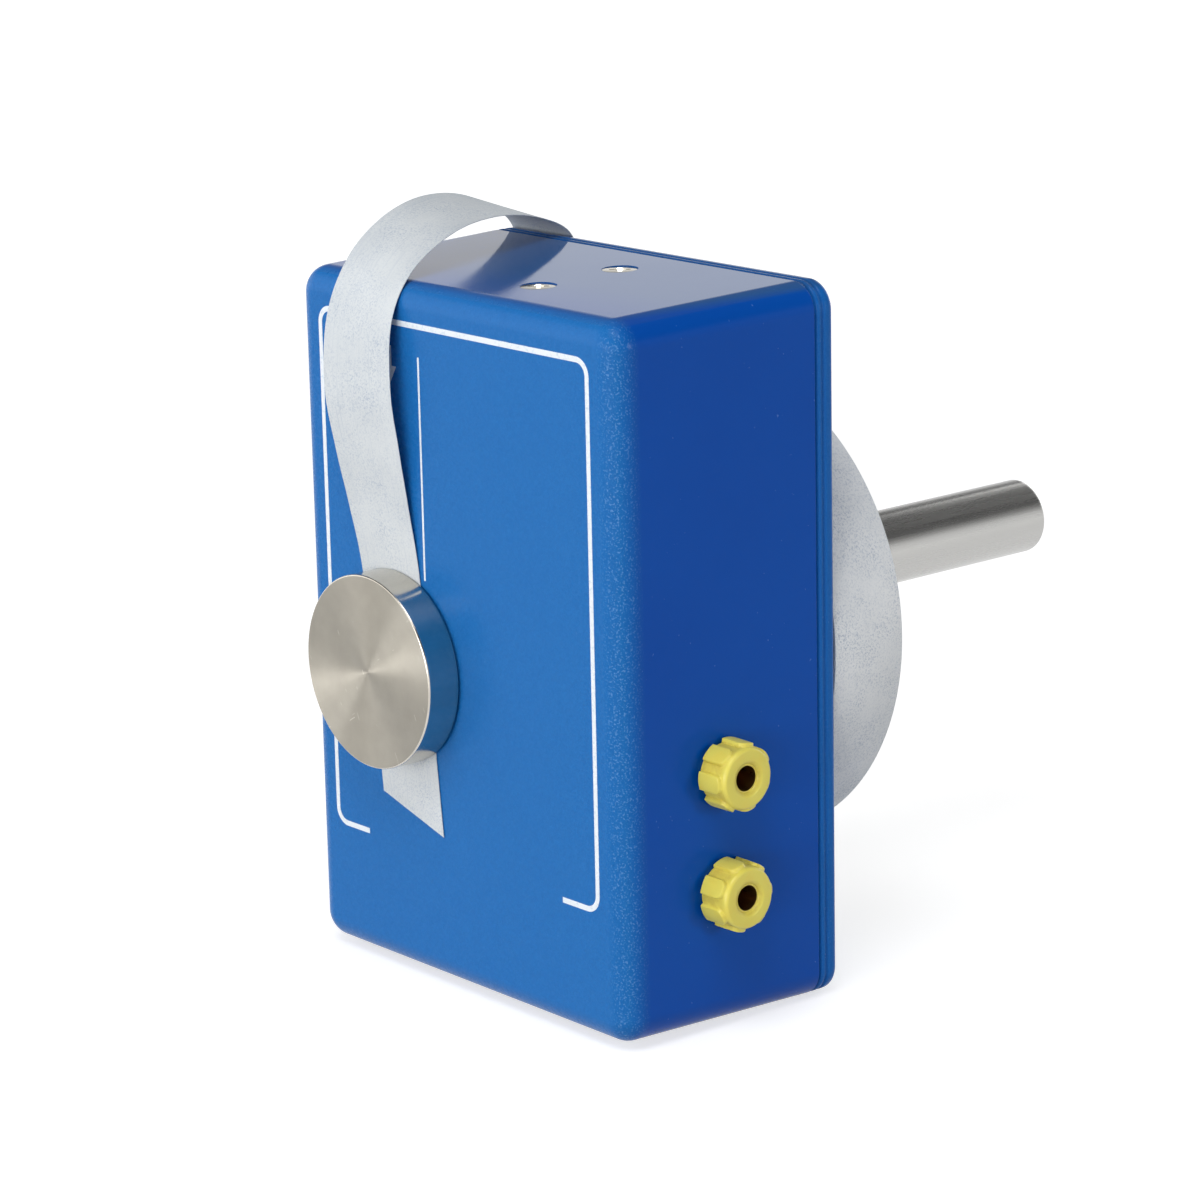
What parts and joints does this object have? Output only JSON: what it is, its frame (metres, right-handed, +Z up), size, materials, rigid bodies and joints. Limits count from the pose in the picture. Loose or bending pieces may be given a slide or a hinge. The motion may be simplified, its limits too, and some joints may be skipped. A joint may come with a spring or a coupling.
{
  "type": "ticker timer",
  "caption": "Classroom ticker timer: a sprung striker marks a paper tape drawn between a blue case and a magnetically held steel anvil disc, fed from a roll on the support rod.",
  "frame": {"origin": "on the axis of the support rod, where the chamfer of its free end starts", "axes": "+Y along the support rod, away from the case; +Z up; +X to the right seen from the front, towards the side with the sockets"},
  "size_m": [0.0843, 0.1327, 0.1222],
  "materials": {
    "blue_moulding": "glossy",
    "yellow_moulding": "satin",
    "black_moulding": "matt",
    "white_moulding": "matt",
    "nickel_plated_steel": "turned",
    "zinc_plated_steel": "satin",
    "spring_steel": "satin",
    "ferrite": "matt",
    "rod_metal": "satin",
    "brass": "turned",
    "copper_wire": "enamelled wire",
    "glass": "clear",
    "red_insulation": "matt",
    "black_insulation": "matt",
    "cardboard": "matt",
    "paper": "matt"
  },
  "bodies": {
    "timer_body": {"case_shell": "blue_moulding", "rear_lid": "blue_moulding", "lid_screws": "zinc_plated_steel", "field_magnet": "ferrite", "reed_clamp_plate": "zinc_plated_steel", "reed_clamp_screws": "zinc_plated_steel", "coil_bracket": "zinc_plated_steel", "bracket_screws": "nickel_plated_steel", "bracket_washers": "zinc_plated_steel", "bracket_nuts": "zinc_plated_steel", "coil_core": "zinc_plated_steel", "coil_bobbin": "white_moulding", "coil_winding": "copper_wire", "coil_pins": "brass", "core_screw": "zinc_plated_steel", "socket_upper_head": "yellow_moulding", "socket_upper_sleeve": "brass", "socket_lower_head": "yellow_moulding", "socket_lower_sleeve": "brass", "socket_washers": "zinc_plated_steel", "socket_nuts": "brass", "fuse_holder": "black_moulding", "fuse_clips": "brass", "fuse_glass": "glass", "fuse_caps": "zinc_plated_steel", "fuse_wire": "spring_steel", "fuse_holder_screw": "zinc_plated_steel", "wire_socket_to_fuse": "red_insulation", "wire_fuse_to_coil": "red_insulation", "wire_coil_to_socket": "black_insulation", "support_rod": "rod_metal", "rod_screw": "zinc_plated_steel", "rod_washer": "zinc_plated_steel", "tape_strip": "paper"},
    "anvil": {"anvil_disc": "nickel_plated_steel"},
    "striker": {"striker_pin": "spring_steel", "reed_spring": "spring_steel", "armature": "zinc_plated_steel"},
    "tape_supply": {"tape_core": "cardboard", "tape_roll": "paper"}
  },
  "joints": [
    {"name": "anvil_lift", "type": "slide", "parent": "timer_body", "child": "anvil", "axis": [0, -1, 0], "range_m": [0, 0.012]},
    {"name": "striker_swing", "type": "hinge", "parent": "timer_body", "child": "striker", "pos_m": [0, -0.11443, 0.0306], "axis": [1, 0, 0], "range_deg": [-1.1, 1.1], "stiffness_Nm_per_rad": 0.2},
    {"name": "tape_roll_spin", "type": "hinge", "parent": "timer_body", "child": "tape_supply", "pos_m": [0, -0.0744, -0.002], "axis": [0, 1, 0], "continuous": true}
  ]
}
